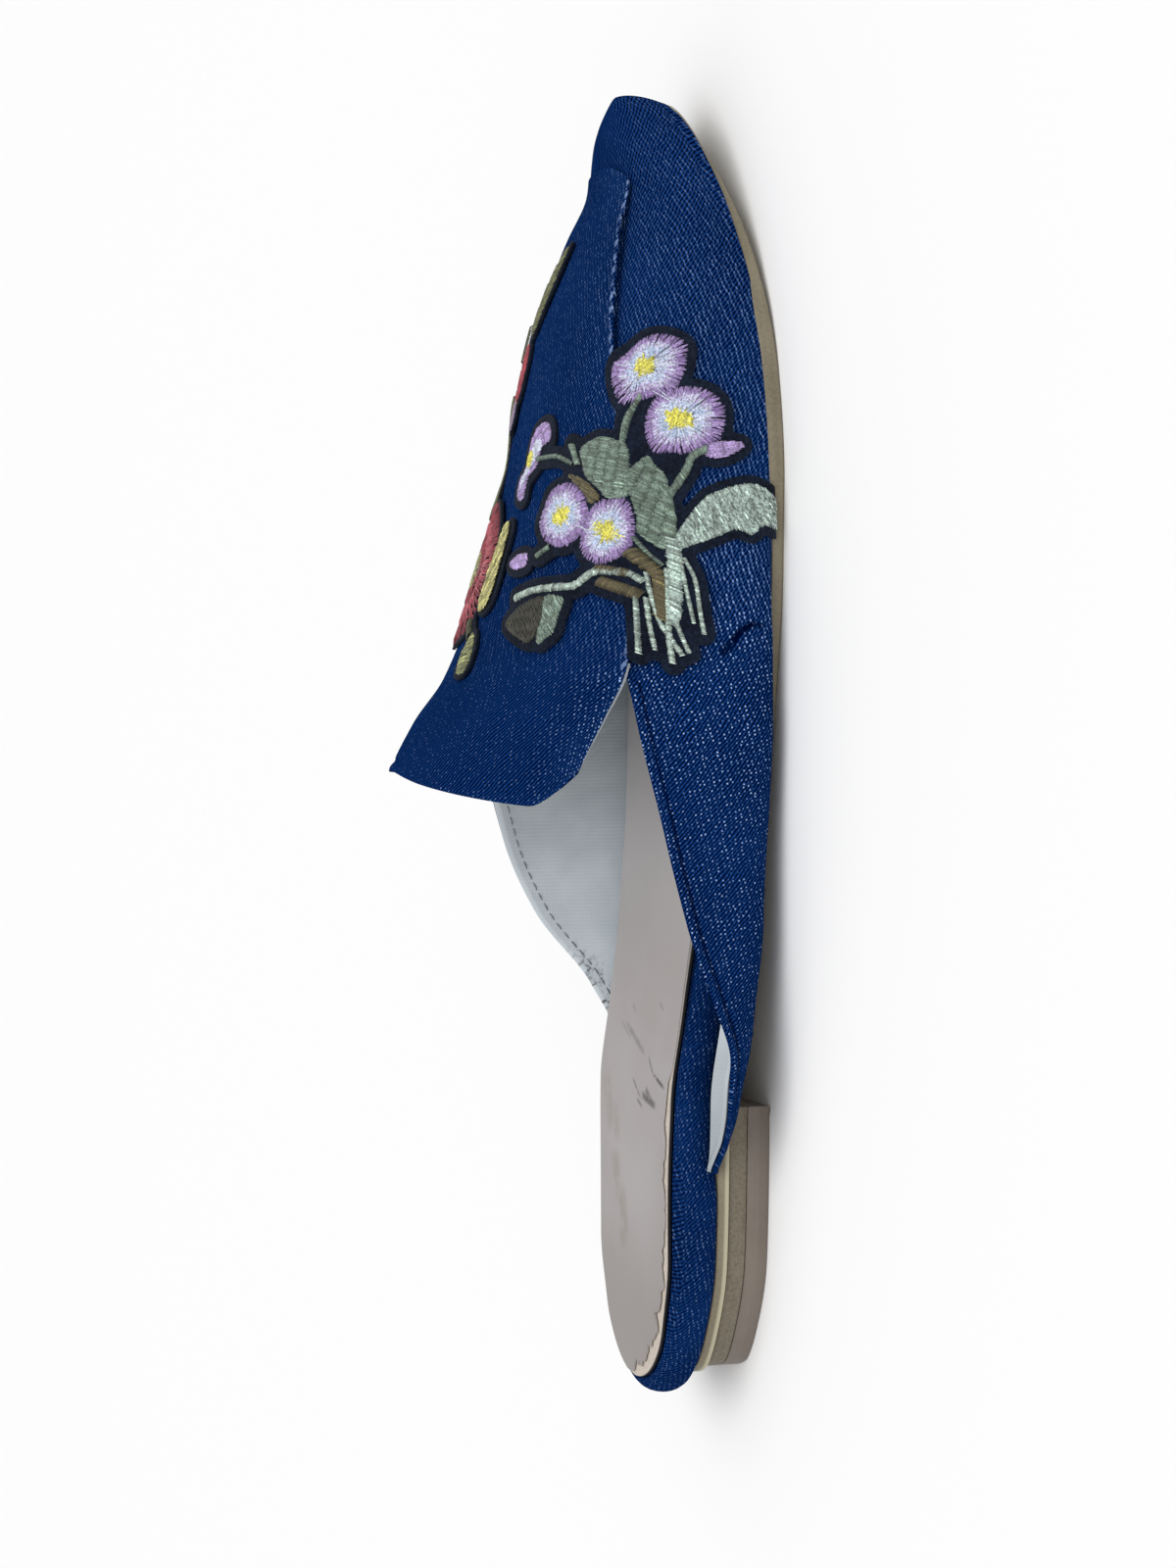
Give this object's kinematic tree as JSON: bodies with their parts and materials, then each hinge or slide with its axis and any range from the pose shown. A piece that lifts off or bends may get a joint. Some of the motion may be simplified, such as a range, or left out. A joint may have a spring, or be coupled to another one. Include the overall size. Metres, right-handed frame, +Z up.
{
  "type": "mule",
  "caption": "Flat backless slip-on shoe for the right foot: denim upper with raised apron and stand-up tongue tab, embroidered flower patches, wrapped footbed and a low stacked heel.",
  "frame": {"origin": "middle of the shoe's box, on the floor plane under the heel and the ball of the foot", "axes": "+X from heel to toe, +Z up, +Y towards the inner (medial) side, so the outer side of this right shoe is at -Y"},
  "size_m": [0.2772, 0.0896, 0.0706],
  "materials": {
    "denim_upper": "indigo twill with pale flecks, worn",
    "denim_footbed": "indigo twill wrap",
    "sock_leather": "smooth, scuffed, matt",
    "sole_board": "matt tan edge",
    "heel_lift": "matt grey-brown",
    "thread_violets": "satin embroidery on dark felt",
    "thread_red_flower": "satin embroidery on dark felt"
  },
  "bodies": {
    "root": {"upper": "denim_upper", "apron_tab": "denim_upper", "footbed": "denim_footbed", "sock": "sock_leather", "outsole": "sole_board", "heel_base": "sole_board", "top_lift": "heel_lift", "patch_violets": "thread_violets", "patch_red_flower": "thread_red_flower"}
  },
  "joints": []
}
